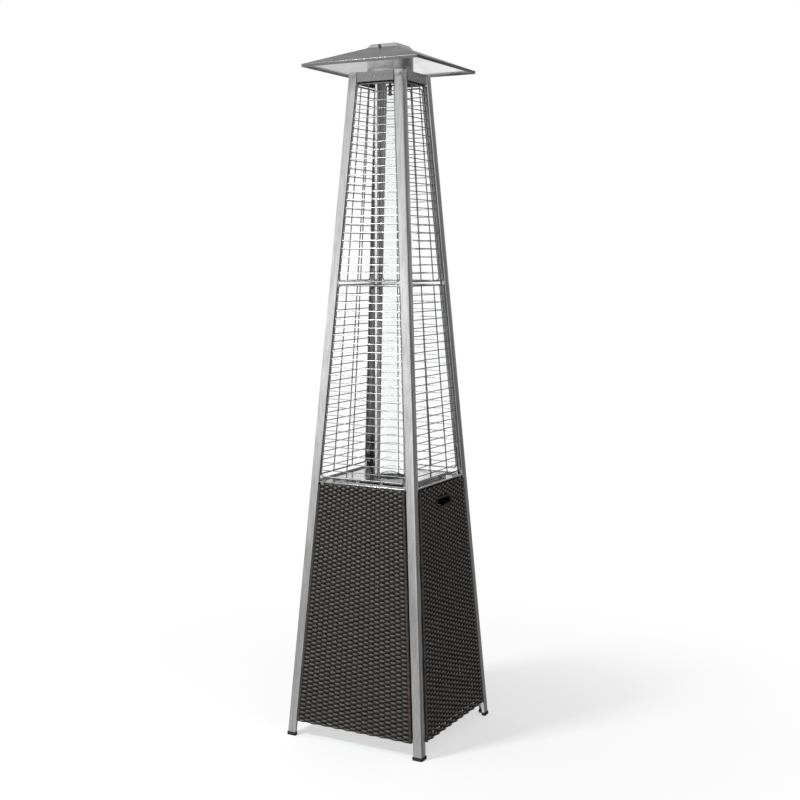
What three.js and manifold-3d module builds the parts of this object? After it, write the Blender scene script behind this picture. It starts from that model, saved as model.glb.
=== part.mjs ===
// Free-standing gas patio heater, square pyramid kind, with a woven base.
// Millimetres, +Z up. Origin on the floor under the middle of the object.
// Front is -Y, the access door is on +X, the controls are on -X.
import * as THREE from 'three';
import { mergeVertices } from 'three/addons/utils/BufferGeometryUtils.js';
import Module from 'manifold-3d';

const wasm = await Module();
wasm.setup();

// ---------------------------------------------------------------- driving dimensions
const HALF_FLOOR = 253.7;      // half width over the posts at floor level
const LEAN = 0.07134;          // each post leans in by this much per mm of height
const GAP = 0.3;               // gap kept between touching pieces

const POST_W = 31;             // flange width of the folded L section
const POST_T = 1.5;            // its sheet thickness
const POST_LIP = 9;            // returned lip on each flange
const POST_R = 5;              // outside bend radius
const Z_POST_0 = 3.3;          // bottom end of the posts, inside the foot caps
const Z_JOINT_1 = 848;         // joint of lower and middle posts
const Z_JOINT_2 = 1508.5;      // joint of middle and upper posts
const Z_POST_TOP = 2178;
const SLEEVE = [760, 968];     // joining sleeve fixed in the lower post

const FOOT_H = 11;
const FOOT_OVER = 2;           // how far a foot cap stands out round its post

const PANEL_Z = [52, 847.5];   // fixed woven panels
const DOOR_Z1 = 846.3;         // top of the door
const PANEL_GAP = 2.5;         // gap between panel edge and post lip
const MAT_V = [-5, -1];        // woven mat, measured inwards from the post faces
const FRAME_V = [-1.5, 8];     // frame behind it
const FRAME_W = 12;

const SLOT = { w: 104, h: 32, z: 792.5 };   // hand slot in the door
const GRIP = { w: 112, h: 38, open_w: 97, open_h: 24 };

const HINGE = { v: 4, z: 57, u: 150, pin_r: 2.0, eye_r: 2.35, bore_r: 2.3 };
const TRAY = { half: 233, ear: 239.9, z: 60, t: 1.5, rim: 22 };

const DECK = { half: 192.5, z0: 848.3, z1: 857, floor: 1.5, rim: 2, hole_r: 68 };
const COVER = { half: 140, z0: 850.1, z1: 862, t: 1.5, hole_r: 46.5 };

const TUBE = { r: 50, wall: 3, z0: 862.4, z_mid: 1508.5, z1: 2163 };

const GUARD_V = [3, 6];        // rungs and frame, inwards from the post faces
const GUARD_BAR_V = [6.3, 9.3];// inner verticals behind the rungs
const GUARD_RAIL = 5;
const GUARD_RUNG = 3;
const RUNG_PITCH = 26.1;
const RUNG_COUNT = 23;
const LOWER_GUARD = { bottom: 872, top: 1497.5, first: 893.3 };
const UPPER_GUARD = { bottom: 1511, top: 2139.5, first: 1537.3 };
const GUARD_INNER = 0.38;      // place of the inner verticals, as a share of the clear half width

const TOP_PLATE = { half: 98.2, z0: 2146, z1: 2177, t: 1.4, hole_r: 46, bar: 12 };
const DRUM = { r: 76, t: 1.2, z0: 2177.4, z1: 2242 };
const REFL = { half: 209.7, z0: 2190, z1: 2199, top_half: 57, z2: 2257, t: 1.2 };
const CAP = { half0: 56, half1: 45.6, z0: 2257.4, z1: 2270, t: 1.2 };

const CONTROL_Z = 815;         // middle of the control plate
const KNOB_U = -24;            // knob and igniter, to the left and right seen from outside
const IGNITER_U = 30;

// ---------------------------------------------------------------- helpers
const S = (z) => HALF_FLOOR - LEAN * z;      // half width over the posts at height z
const ALPHA = Math.atan(LEAN);

const strip = (g) => {
  const geo = g.index ? g.toNonIndexed() : g.clone();
  for (const name of Object.keys(geo.attributes)) if (name !== 'position') geo.deleteAttribute(name);
  return mergeVertices(geo, 1e-4);
};
const solid = (g) => {
  const geo = strip(g);
  return new wasm.Manifold(new wasm.Mesh({
    numProp: 3,
    vertProperties: new Float32Array(geo.attributes.position.array),
    triVerts: new Uint32Array(geo.index.array),
  }));
};
const geometry = (m) => {
  const mesh = m.getMesh();
  const geo = new THREE.BufferGeometry();
  geo.setAttribute('position', new THREE.BufferAttribute(new Float32Array(mesh.vertProperties), 3));
  geo.setIndex(new THREE.BufferAttribute(new Uint32Array(mesh.triVerts), 1));
  return geo;
};
const map = (g, f) => {
  const geo = g.clone();
  const p = geo.attributes.position;
  for (let i = 0; i < p.count; i++) {
    const [x, y, z] = f(p.getX(i), p.getY(i), p.getZ(i));
    p.setXYZ(i, x, y, z);
  }
  return geo;
};
const shape = (pts, holes = []) => {
  const s = new THREE.Shape(pts.map(([x, y]) => new THREE.Vector2(x, y)));
  for (const h of holes) s.holes.push(new THREE.Path(h.map(([x, y]) => new THREE.Vector2(x, y))));
  return s;
};
const prism = (s, z0, z1) => new THREE.ExtrudeGeometry(s, { depth: z1 - z0, bevelEnabled: false, curveSegments: 12 }).translate(0, 0, z0);
const rect = (x0, y0, x1, y1) => [[x0, y0], [x1, y0], [x1, y1], [x0, y1]];
const arc = (cx, cy, r, a0, a1, n) => Array.from({ length: n + 1 }, (_, i) => {
  const a = a0 + (a1 - a0) * i / n;
  return [cx + r * Math.cos(a), cy + r * Math.sin(a)];
});
const circle = (cx, cy, r, n = 24) => arc(cx, cy, r, 0, 2 * Math.PI, n).slice(0, -1);
const stadium = (cx, cy, w, h, n = 8) => [
  ...arc(cx + w / 2 - h / 2, cy, h / 2, -Math.PI / 2, Math.PI / 2, n),
  ...arc(cx - w / 2 + h / 2, cy, h / 2, Math.PI / 2, 3 * Math.PI / 2, n),
];
const box = (x0, y0, z0, x1, y1, z1) =>
  new THREE.BoxGeometry(x1 - x0, y1 - y0, z1 - z0).translate((x0 + x1) / 2, (y0 + y1) / 2, (z0 + z1) / 2);
const lathe = (pts, n = 32) => {
  // closed profile in (radius, height), turned round +Z
  const g = new THREE.LatheGeometry([...pts, pts[0]].map(([r, z]) => new THREE.Vector2(r, z)), n);
  return g.rotateX(Math.PI / 2);
};
// a turned solid whose profile starts and ends on the axis
const latheAxis = (pts, n = 32) =>
  new THREE.LatheGeometry(pts.map(([r, z]) => new THREE.Vector2(r, z)), n).rotateX(Math.PI / 2);
const outward = (g) => {
  // turn the faces out if the signed volume is negative
  const geo = strip(g);
  const p = geo.attributes.position, ix = geo.index;
  let v = 0;
  const a = new THREE.Vector3(), b = new THREE.Vector3(), c = new THREE.Vector3();
  for (let i = 0; i < ix.count; i += 3) {
    a.fromBufferAttribute(p, ix.getX(i)); b.fromBufferAttribute(p, ix.getX(i + 1)); c.fromBufferAttribute(p, ix.getX(i + 2));
    v += a.dot(b.clone().cross(c));
  }
  if (v < 0) for (let i = 0; i < ix.count; i += 3) { const t = ix.getX(i); ix.setX(i, ix.getX(i + 1)); ix.setX(i + 1, t); }
  return geo;
};
const M = (g) => solid(outward(g));

// a plate that lies in the leaning front face: the shape is drawn in (u, z), v runs inwards from the post faces
const facePlate = (s, v0, v1) => map(
  new THREE.ExtrudeGeometry(s, { depth: v1 - v0, bevelEnabled: false, curveSegments: 12 }),
  (a, b, c) => [a, -S(b) + v1 - c, b]);
// a piece that follows the leaning front-right corner: the shape is drawn in (x, y) with the corner at 0, 0
const cornerPiece = (s, z0, z1) => map(prism(s, z0, z1), (x, y, z) => [S(z) + x, -S(z) + y, z]);

const part = new THREE.Group();
const material = (color, roughness, metalness, extra = {}) => new THREE.MeshStandardMaterial({ color, roughness, metalness, ...extra });
const add = (name, geo, mat, parent = part, turn = 0) => {
  const mesh = new THREE.Mesh(outward(geo), mat);
  mesh.name = name;
  mesh.rotation.z = turn;
  parent.add(mesh);
  return mesh;
};

const polished = material(0xc4c6c8, 0.18, 1.0);
const steel = material(0xb4b6b8, 0.32, 1.0);
const wire = material(0xa9abad, 0.28, 1.0);
const weave = material(0x231d1b, 0.55, 0.0);
const blackPlastic = material(0x101010, 0.5, 0.0);
const rubber = material(0x0c0c0c, 0.8, 0.0);
const glass = material(0xf2f7f8, 0.03, 0.0, { transparent: true, opacity: 0.25 });
const brass = material(0xb08d46, 0.35, 1.0);
const castIron = material(0x2c2c2d, 0.7, 0.8);
const darkSteel = material(0x3a3a3b, 0.45, 0.9);
const galvanised = material(0x8e9294, 0.5, 0.9);

const TURNS = [['front', 0], ['right', Math.PI / 2], ['rear', Math.PI], ['left', -Math.PI / 2]];
const CORNERS = [['front_right', 0], ['rear_right', Math.PI / 2], ['rear_left', Math.PI], ['front_left', -Math.PI / 2]];

// ---------------------------------------------------------------- posts and feet
const postSection = shape([
  [-POST_W, 0], ...arc(-POST_R, POST_R, POST_R, -Math.PI / 2, 0, 4), [0, POST_W], [-POST_LIP, POST_W],
  [-POST_LIP, POST_W - POST_T], [-POST_T, POST_W - POST_T],
  ...arc(-POST_R, POST_R, POST_R - POST_T, 0, -Math.PI / 2, 4),
  [-POST_W + POST_T, POST_T], [-POST_W + POST_T, POST_LIP], [-POST_W, POST_LIP],
]);
const sleeveSection = (d0) => shape([
  [-26, d0], [-POST_R, d0], [-d0, POST_R], [-d0, 26], [-3.3, 26], [-3.3, POST_R + 0.4], [-POST_R - 0.4, 3.3], [-26, 3.3],
]);
const lowerPost = M(cornerPiece(postSection, Z_POST_0, Z_JOINT_1 - 0.2))
  .add(M(cornerPiece(sleeveSection(1.2), SLEEVE[0], Z_JOINT_1 - 0.2)))
  .add(M(cornerPiece(sleeveSection(1.9), Z_JOINT_1 - 1, SLEEVE[1])));
const footOuter = (o) => shape([
  [-POST_W - o, -o], ...arc(-POST_R, POST_R, POST_R + o, -Math.PI / 2, 0, 4), [o, POST_W + o],
  [-POST_LIP - o, POST_W + o], [-POST_LIP - o, POST_LIP + o], [-POST_W - o, POST_LIP + o],
]);
const foot = M(cornerPiece(footOuter(FOOT_OVER), 0, FOOT_H))
  .subtract(M(cornerPiece(footOuter(GAP), 3, FOOT_H + 1)));
for (const [name, turn] of CORNERS) {
  add(`foot_cap_${name}`, geometry(foot), rubber, part, turn);
  add(`lower_post_${name}`, geometry(lowerPost), polished, part, turn);
  add(`middle_post_${name}`, cornerPiece(postSection, Z_JOINT_1 + 0.2, Z_JOINT_2 - 0.2), polished, part, turn);
  add(`upper_post_${name}`, cornerPiece(postSection, Z_JOINT_2 + 0.2, Z_POST_TOP), polished, part, turn);
}

// ---------------------------------------------------------------- woven panels
const halfPanel = (z) => S(z) - POST_W - PANEL_GAP;
const trapezoid = (z0, z1, inset = 0) => [
  [-halfPanel(z0) + inset, z0], [halfPanel(z0) - inset, z0], [halfPanel(z1) - inset, z1], [-halfPanel(z1) + inset, z1],
];
const panel = (z1, holes, topBar) => {
  const [z0] = PANEL_Z;
  const mat = M(facePlate(shape(trapezoid(z0, z1), holes), ...MAT_V));
  const mid = 450;
  const frame = M(facePlate(shape(trapezoid(z0, z1), [
    trapezoid(z0 + FRAME_W, mid - 5, FRAME_W),
    trapezoid(mid + 5, z1 - topBar, FRAME_W),
  ]), ...FRAME_V));
  return mat.add(frame);
};
const fixedPanel = panel(PANEL_Z[1], [], FRAME_W);
add('panel_front', geometry(fixedPanel), weave);
add('panel_rear', geometry(fixedPanel), weave, part, Math.PI);
// the left panel has a notch in its top edge for the control box, with a frame bar under it
const notch = M(facePlate(shape(rect(-62, 783, 62, 850)), -8, 12));
const bar = M(facePlate(shape(rect(-halfPanel(775), 771, halfPanel(775), 781)), ...FRAME_V));
add('panel_left', geometry(fixedPanel.add(bar).subtract(notch)), weave, part, -Math.PI / 2);

// door: hinged along its bottom edge, hand slot near its top edge
const hingeY = -S(HINGE.z) + HINGE.v;
let door = panel(DOOR_Z1, [stadium(0, SLOT.z, SLOT.w, SLOT.h)], FRAME_W);
for (const s of [-1, 1]) {
  door = door.subtract(M(box(s * HINGE.u - 5.5, -S(52) + 8 - 9.2 + 0.6, 50, s * HINGE.u + 5.5, -S(52) + 12, PANEL_Z[0] + FRAME_W + 0.5)));
  door = door.subtract(M(new THREE.CylinderGeometry(HINGE.bore_r, HINGE.bore_r, 24, 16)
    .rotateZ(Math.PI / 2).translate(s * HINGE.u, hingeY, HINGE.z)));
}
add('door_panel', geometry(door), weave, part, Math.PI / 2);
const grip = M(facePlate(shape(stadium(0, SLOT.z, GRIP.w, GRIP.h), [stadium(0, SLOT.z, GRIP.open_w, GRIP.open_h)]), -6.8, -5 - GAP))
  .add(M(facePlate(shape(stadium(0, SLOT.z, SLOT.w - 2 * GAP, SLOT.h - 2 * GAP), [stadium(0, SLOT.z, GRIP.open_w, GRIP.open_h)]), -6, 1.5)));
add('door_hand_grip', geometry(grip), blackPlastic, part, Math.PI / 2);
for (const [name, s] of [['front', -1], ['rear', 1]]) {
  const pin = new THREE.CylinderGeometry(HINGE.pin_r, HINGE.pin_r, 22, 16).rotateZ(Math.PI / 2).translate(s * HINGE.u, hingeY, HINGE.z);
  add(`door_hinge_pin_${name}`, pin, steel, part, Math.PI / 2);
  // eye plate on the tray rim: drawn in (y, z), 8 mm thick along x
  const tray = -TRAY.half - GAP;
  const eye = M(new THREE.CylinderGeometry(4.2, 4.2, 8, 20).rotateZ(Math.PI / 2).translate(s * HINGE.u, hingeY, HINGE.z))
    .add(M(box(s * HINGE.u - 4, hingeY, HINGE.z - 3, s * HINGE.u + 4, tray, HINGE.z + 3)))
    .add(M(box(s * HINGE.u - 4, tray - 2.5, HINGE.z - 3, s * HINGE.u + 4, tray, 81)))
    .subtract(M(new THREE.CylinderGeometry(HINGE.eye_r, HINGE.eye_r, 10, 20).rotateZ(Math.PI / 2).translate(s * HINGE.u, hingeY, HINGE.z)));
  add(`door_hinge_bracket_${name}`, geometry(eye), steel, part, Math.PI / 2);
}
add('door_magnet_catch', box(-20, -S(841) + 9, 836, 20, -S(841) + 21, DECK.z0 - GAP), darkSteel, part, Math.PI / 2);

// ---------------------------------------------------------------- gas bottle tray
const e = TRAY.ear, c = S(62) - POST_W - 1, h = TRAY.half;
const trayOutline = [
  [h, -c], [e, -c], [e, -e], [c, -e], [c, -h], [-c, -h], [-c, -e], [-e, -e], [-e, -c], [-h, -c],
  [-h, c], [-e, c], [-e, e], [-c, e], [-c, h], [c, h], [c, e], [e, e], [e, c], [h, c],
].reverse();
const tray = M(prism(shape(trayOutline), TRAY.z, TRAY.z + TRAY.t))
  .add(M(prism(shape(rect(-h, -h, h, h), [rect(-h + TRAY.t, -h + TRAY.t, h - TRAY.t, h - TRAY.t)]), TRAY.z, TRAY.z + TRAY.rim)));
add('gas_bottle_tray', geometry(tray), galvanised);

// ---------------------------------------------------------------- deck
const plus = (half, n) => [
  [half, -n], [half, n], [n, n], [n, half], [-n, half], [-n, n], [-half, n], [-half, -n], [-n, -n], [-n, -half], [n, -half], [n, -n],
];
const deckNotch = DECK.half - POST_W - 0.6;
const deck = M(prism(shape(plus(DECK.half, deckNotch), [circle(0, 0, DECK.hole_r, 40)]), DECK.z0, DECK.z1))
  .subtract(M(prism(shape(plus(DECK.half - DECK.rim, deckNotch - DECK.rim)), DECK.z0 + DECK.floor, DECK.z1 + 1)));
add('deck_plate', geometry(deck), polished);

let cover = M(box(-COVER.half, -COVER.half, COVER.z0, COVER.half, COVER.half, COVER.z1))
  .subtract(M(box(-COVER.half + COVER.t, -COVER.half + COVER.t, COVER.z0 - 1, COVER.half - COVER.t, COVER.half - COVER.t, COVER.z1 - COVER.t)))
  .subtract(M(prism(shape(circle(0, 0, COVER.hole_r, 48)), COVER.z1 - 5, COVER.z1 + 1)));
for (const x of [-88, 0, 88]) {
  cover = cover.subtract(M(box(x - 38, -COVER.half - 2, 853, x + 38, COVER.half + 2, 858.5)));
  cover = cover.subtract(M(box(-COVER.half - 2, x - 38, 853, COVER.half + 2, x + 38, 858.5)));
}
add('burner_cover', geometry(cover), polished);

// ---------------------------------------------------------------- burner
add('burner_pan', lathe([[13, 835], [61.2, 835], [61.2, 858.6], [72, 858.6], [72, 860.2], [60, 860.2], [60, 836.2], [13, 836.2]], 28), darkSteel);
add('burner_head', latheAxis([[0, 824], [12, 824], [12, 845], [36, 848], [36, 854], [30, 857], [0, 859]], 24), castIron);
add('mixer_tube', latheAxis([[0, 765], [15, 765], [15, 830], [12.4, 830], [12.4, 768], [0, 768]], 24), brass);
add('pilot_burner', latheAxis([[0, 836.6], [3, 836.6], [3, 856], [5, 858], [5, 868], [3.6, 868], [3.6, 860], [0, 860]], 16).translate(-41, 0, 0), brass);
add('thermocouple', latheAxis([[0, 836.6], [3.2, 836.6], [3.2, 848], [1.8, 849], [1.8, 871], [0, 873]], 12)
  .translate(-41 * Math.cos(0.42), 41 * Math.sin(0.42), 0), steel);

// ---------------------------------------------------------------- flame tube and its ends
add('tube_foot_ring', lathe([[TUBE.r + 0.6, 862.3], [58, 862.3], [58, 864], [53, 868], [TUBE.r + 0.6, 868]], 32), darkSteel);
// two lengths of the same glass, one standing on the other at the height of the upper post joint
for (const [name, z0, z1] of [['lower', TUBE.z0, TUBE.z_mid - 0.15], ['upper', TUBE.z_mid + 0.15, TUBE.z1]]) {
  add(`flame_tube_${name}`, lathe([[TUBE.r - TUBE.wall, z0], [TUBE.r, z0], [TUBE.r, z1], [TUBE.r - TUBE.wall, z1]], 40), glass);
}
add('tube_top_collar', lathe([[50.8, 2147], [57, 2147], [57, 2175.2], [55.5, 2175.2], [55.5, 2149.5], [50.8, 2149.5]], 32), darkSteel);

// ---------------------------------------------------------------- wire guards
const clear = (z) => S(z) - POST_W - 0.5;
const guard = ({ bottom, top, first }) => {
  const zb = bottom - 2.5, zt = top + 2.5;
  const outline = [[-clear(zb), zb], [clear(zb), zb], [clear(zt), zt], [-clear(zt), zt]];
  const holes = [];
  const edges = [bottom + 2.5];
  for (let i = 0; i < RUNG_COUNT; i++) {
    const z = first + RUNG_PITCH * i;
    edges.push(z - GUARD_RUNG / 2, z + GUARD_RUNG / 2);
  }
  edges.push(top - 2.5);
  for (let i = 0; i < edges.length; i += 2) {
    const [a, b] = [edges[i], edges[i + 1]];
    holes.push([[-clear(a) + GUARD_RAIL, a], [clear(a) - GUARD_RAIL, a], [clear(b) - GUARD_RAIL, b], [-clear(b) + GUARD_RAIL, b]]);
  }
  let g = M(facePlate(shape(outline, holes), ...GUARD_V));
  // top and bottom frame bars are as deep as rungs and verticals together
  for (const [a, b] of [[zb, bottom + 2.5], [top - 2.5, zt]]) {
    g = g.add(M(facePlate(shape([[-clear(a), a], [clear(a), a], [clear(b), b], [-clear(b), b]]), GUARD_V[0], GUARD_BAR_V[1])));
  }
  for (const s of [-1, 1]) {
    const u = (z) => s * GUARD_INNER * clear(z);
    g = g.add(M(facePlate(shape([[u(bottom) - 2, bottom], [u(bottom) + 2, bottom], [u(top) + 2, top], [u(top) - 2, top]]), ...GUARD_BAR_V)));
  }
  return geometry(g);
};
const lowerGuard = guard(LOWER_GUARD), upperGuard = guard(UPPER_GUARD);
for (const [name, turn] of TURNS) {
  add(`lower_guard_${name}`, lowerGuard, wire, part, turn);
  add(`upper_guard_${name}`, upperGuard, wire, part, turn);
}

// ---------------------------------------------------------------- top plate, drum, reflector
const topNotch = TOP_PLATE.half - POST_W - 0.6;
const leanOut = (x, z) => (Math.abs(x) > 90 ? x + Math.sign(x) * LEAN * (TOP_PLATE.z1 - z) : x);
const b2 = TOP_PLATE.bar / 2, rq = TOP_PLATE.hole_r;
const quarter = (k) => {
  const a0 = Math.asin(b2 / rq), pts = [[b2, b2], ...arc(0, 0, rq, a0, Math.PI / 2 - a0, 8)];
  const cs = [1, 0, -1, 0][k], sn = [0, 1, 0, -1][k];
  return pts.map(([x, y]) => [x * cs - y * sn, x * sn + y * cs]);
};
const topPlate = M(map(prism(shape(plus(TOP_PLATE.half, topNotch)), TOP_PLATE.z0, TOP_PLATE.z1), (x, y, z) => [leanOut(x, z), leanOut(y, z), z]))
  .subtract(M(map(prism(shape(plus(TOP_PLATE.half - TOP_PLATE.t, topNotch - TOP_PLATE.t)), TOP_PLATE.z0 - 1, TOP_PLATE.z1 - 1.5),
    (x, y, z) => [leanOut(x, z), leanOut(y, z), z])))
  .subtract(M(prism(shape(circle(0, 0, 4.4, 16)), 2170, 2180)))
  .subtract(M(prism(shape(quarter(0)), 2170, 2180))).subtract(M(prism(shape(quarter(1)), 2170, 2180)))
  .subtract(M(prism(shape(quarter(2)), 2170, 2180))).subtract(M(prism(shape(quarter(3)), 2170, 2180)));
add('top_plate', geometry(topPlate), steel);

add('flame_drum', lathe([[66, DRUM.z0], [DRUM.r, DRUM.z0], [DRUM.r, DRUM.z1], [DRUM.r - DRUM.t, DRUM.z1], [DRUM.r - DRUM.t, DRUM.z0 + DRUM.t], [66, DRUM.z0 + DRUM.t]], 32), polished);
add('reflector_stud', latheAxis([
  [0, 2106], [4, 2106], [4, 2108], [7, 2108], [7, 2114], [5, 2114], [5, 2120], [7, 2120], [7, 2126], [5, 2126], [5, 2132], [7, 2132], [7, 2138],
  [4, 2138], [4, 2168], [8, 2168], [8, 2175.2], [4, 2175.2], [4, 2177.3], [9, 2177.3], [9, 2255.3], [4, 2255.3], [4, 2266], [0, 2266]], 12), darkSteel);

const frustum = (h0, z0, h1, z1) => {
  const g = new THREE.CylinderGeometry(h1 * Math.SQRT2, h0 * Math.SQRT2, z1 - z0, 4, 1).rotateY(Math.PI / 4).rotateX(Math.PI / 2);
  return g.translate(0, 0, (z0 + z1) / 2);
};
const slope = (REFL.half - REFL.top_half) / (REFL.z2 - REFL.z1);
const ti = REFL.t, hin = REFL.half - ti;
const zTopIn = REFL.z2 - 1.5;
const reflector = M(box(-REFL.half, -REFL.half, REFL.z0, REFL.half, REFL.half, REFL.z1 + 0.01))
  .add(M(frustum(REFL.half, REFL.z1, REFL.top_half, REFL.z2)))
  .subtract(M(box(-hin, -hin, REFL.z0 - 1, hin, hin, REFL.z1 - 0.89)))
  .subtract(M(frustum(hin, REFL.z1 - 0.9, hin - slope * (zTopIn - REFL.z1 + 0.9), zTopIn)))
  .subtract(M(prism(shape(circle(0, 0, 4.4, 16)), REFL.z2 - 10, REFL.z2 + 1)));
add('reflector', geometry(reflector), steel);
add('reflector_nut', prism(shape(circle(0, 0, 7.5, 6), [circle(0, 0, 4.4, 16)]), REFL.z2 + GAP, REFL.z2 + 6), steel);

const cap = M(frustum(CAP.half0, CAP.z0, CAP.half1, CAP.z1))
  .subtract(M(frustum(CAP.half0 - 1.5 + 0.83, CAP.z0 - 1, CAP.half1 - 1.5 + 1.0, CAP.z1 - CAP.t)));
add('reflector_cap', geometry(cap), polished);

// ---------------------------------------------------------------- controls, on the left face
const control = new THREE.Group();
control.name = 'controls';
{
  const n = new THREE.Vector3(-Math.cos(ALPHA), 0, Math.sin(ALPHA));
  const w = new THREE.Vector3(Math.sin(ALPHA), 0, Math.cos(ALPHA));
  const u = new THREE.Vector3().crossVectors(w, n);
  control.quaternion.setFromRotationMatrix(new THREE.Matrix4().makeBasis(u, w, n));
  control.position.set(-S(CONTROL_Z), 0, CONTROL_Z);
  part.add(control);
}
// in this group +Z points out of the face, +Y up along it, +X to the right seen from outside
const controlBox = M(box(-60, -30, -38, 60, 30, 5.7))
  .subtract(M(box(-58.5, -28.5, -39, 58.5, 28.5, 4.2)))
  .subtract(M(prism(shape(circle(KNOB_U, 0, 7, 24)), 0, 8)))
  .subtract(M(prism(shape(circle(IGNITER_U, 0, 9.2, 24)), 0, 8)));
add('control_box', geometry(controlBox), steel, control);
const valve = M(box(KNOB_U - 16, -14, -34, KNOB_U + 16, 14, -2))
  .add(M(new THREE.CylinderGeometry(5, 5, 12, 16).rotateX(Math.PI / 2).translate(KNOB_U, 0, -39)))
  .add(M(new THREE.CylinderGeometry(5.5, 5.5, 12, 16).translate(KNOB_U, -19, -20)))
  .subtract(M(prism(shape(circle(KNOB_U, 0, 7.3, 24)), -22, 0)));
add('gas_valve_body', geometry(valve), brass, control);
const dee = (r, flat, n = 20) => circle(0, 0, r, n).map(([x, y]) => [x, Math.min(y, flat)]);
add('gas_valve_rotor', geometry(
  M(prism(shape(circle(0, 0, 7, 24)), -21.7, -2.4)).subtract(M(prism(shape(dee(3.6, 2.5)), -20, -1)))).translate(KNOB_U, 0, 0), brass, control);
add('gas_valve_stem', prism(shape(dee(3.2, 2.1)), -14.5, 21).translate(KNOB_U, 0, 0), steel, control);
const knob = M(latheAxis([[0, 10.5], [21, 10.5], [21, 14], [18.5, 16], [17, 30], [15.5, 31.5], [0, 31.5]], 24))
  .add(M(box(-2.2, -15.5, 30, 2.2, 15.5, 34.5)))
  .subtract(M(prism(shape(dee(3.5, 2.4)), 9, 21.4)));
add('control_knob', geometry(knob).translate(KNOB_U, 0, 0), blackPlastic, control);
add('igniter_body', latheAxis([[0, -34], [7, -34], [7, -28], [8.8, -28], [8.8, 6.1], [11.5, 6.1], [11.5, 9], [6.4, 9], [6.4, -9], [0, -9]], 16)
  .translate(IGNITER_U, 0, 0), blackPlastic, control);
add('igniter_button', latheAxis([[0, -2], [6, -2], [6, 14], [5, 15.2], [0, 15.2]], 16).translate(IGNITER_U, 0, 0), rubber, control);

// ---------------------------------------------------------------- gas pipe from the valve to the mixer
const outlet = new THREE.Vector3(KNOB_U, 0, -45.4).applyQuaternion(control.quaternion).add(control.position);
const pipePath = new THREE.CatmullRomCurve3([
  outlet, outlet.clone().add(new THREE.Vector3(14, 0, -1)), new THREE.Vector3(-100, outlet.y * 0.7, 790), new THREE.Vector3(-50, outlet.y * 0.25, 757),
  new THREE.Vector3(-16, 0, 747), new THREE.Vector3(-2, 0, 749), new THREE.Vector3(0, 0, 757), new THREE.Vector3(0, 0, 764.2),
]);
add('gas_pipe', new THREE.ExtrudeGeometry(shape(circle(0, 0, 3.5, 8)), { steps: 22, extrudePath: pipePath, bevelEnabled: false }), brass);

export default part;
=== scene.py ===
import math

import bpy
import numpy as np
from mathutils import Vector, Matrix
from mathutils.geometry import tessellate_polygon


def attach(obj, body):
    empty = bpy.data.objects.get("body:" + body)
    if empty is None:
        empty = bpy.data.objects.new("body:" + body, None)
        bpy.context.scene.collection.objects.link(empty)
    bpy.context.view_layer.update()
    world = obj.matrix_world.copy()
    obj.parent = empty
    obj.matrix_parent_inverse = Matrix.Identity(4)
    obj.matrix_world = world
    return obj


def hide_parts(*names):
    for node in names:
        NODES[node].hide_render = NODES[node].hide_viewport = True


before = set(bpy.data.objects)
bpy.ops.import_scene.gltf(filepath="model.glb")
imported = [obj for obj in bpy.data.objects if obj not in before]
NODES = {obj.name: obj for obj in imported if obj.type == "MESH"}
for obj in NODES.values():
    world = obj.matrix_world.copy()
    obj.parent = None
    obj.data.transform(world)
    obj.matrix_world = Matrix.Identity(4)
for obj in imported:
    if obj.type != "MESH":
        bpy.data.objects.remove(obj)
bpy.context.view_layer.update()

PI = math.pi
MM = 0.001
RNG = np.random.default_rng(11)

# ------------------------------------------------------------------ sizes, mm
HALF_FLOOR, LEAN = 253.7, 0.07134
Z_POST_0, Z_JOINT_1, Z_JOINT_2, Z_POST_TOP = 3.3, 848.0, 1508.5, 2178.0
POST_W, POST_T, POST_LIP, POST_R = 31.0, 1.5, 9.0, 5.0
PANEL_Z0, PANEL_Z1, DOOR_Z1 = 52.0, 847.5, 846.3
SLOT_Z = 792.5
HINGE_U, HINGE_V, HINGE_Z = 150.0, 4.0, 57.0
CONTROL_Z, KNOB_U, IGNITER_U = 815.0, -24.0, 30.0
ALPHA = math.atan(LEAN)
TURNS = {"front": 0.0, "right": PI / 2, "rear": PI, "left": -PI / 2}
CORNERS = {"front_right": 0.0, "rear_right": PI / 2, "rear_left": PI, "front_left": -PI / 2}


def S(z):
    return HALF_FLOOR - LEAN * z


# ------------------------------------------------------------------ mesh helpers
class Geo:
    def __init__(self):
        self.v, self.f, self.m, self.n = [], [], [], 0
        # per-vertex mask for the weave's painted crest highlight and painted valley shade, stored as the 'wear'
        # attribute
        self.wear = []

    def add(self, verts, faces, mi=0, closed=True):
        verts = np.asarray(verts, float).reshape(-1, 3)
        faces = [tuple(int(i) for i in f) for f in faces]
        if closed and volume(verts, faces) < 0:
            faces = [tuple(reversed(f)) for f in faces]
        self.v.append(verts)
        self.f += [tuple(i + self.n for i in f) for f in faces]
        self.m += [mi] * len(faces)
        self.n += len(verts)
        return self


def volume(v, faces):
    t = np.array([(f[0], f[k], f[k + 1]) for f in faces for k in range(1, len(f) - 1)])
    a, b, c = v[t[:, 0]], v[t[:, 1]], v[t[:, 2]]
    return float(np.einsum("ij,ij->i", a, np.cross(b, c)).sum())


def rotz(v, a):
    v = np.asarray(v, float).copy()
    c, s = round(math.cos(a), 12), round(math.sin(a), 12)
    x, y = v[:, 0] * c - v[:, 1] * s, v[:, 0] * s + v[:, 1] * c
    v[:, 0], v[:, 1] = x, y
    return v


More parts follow.
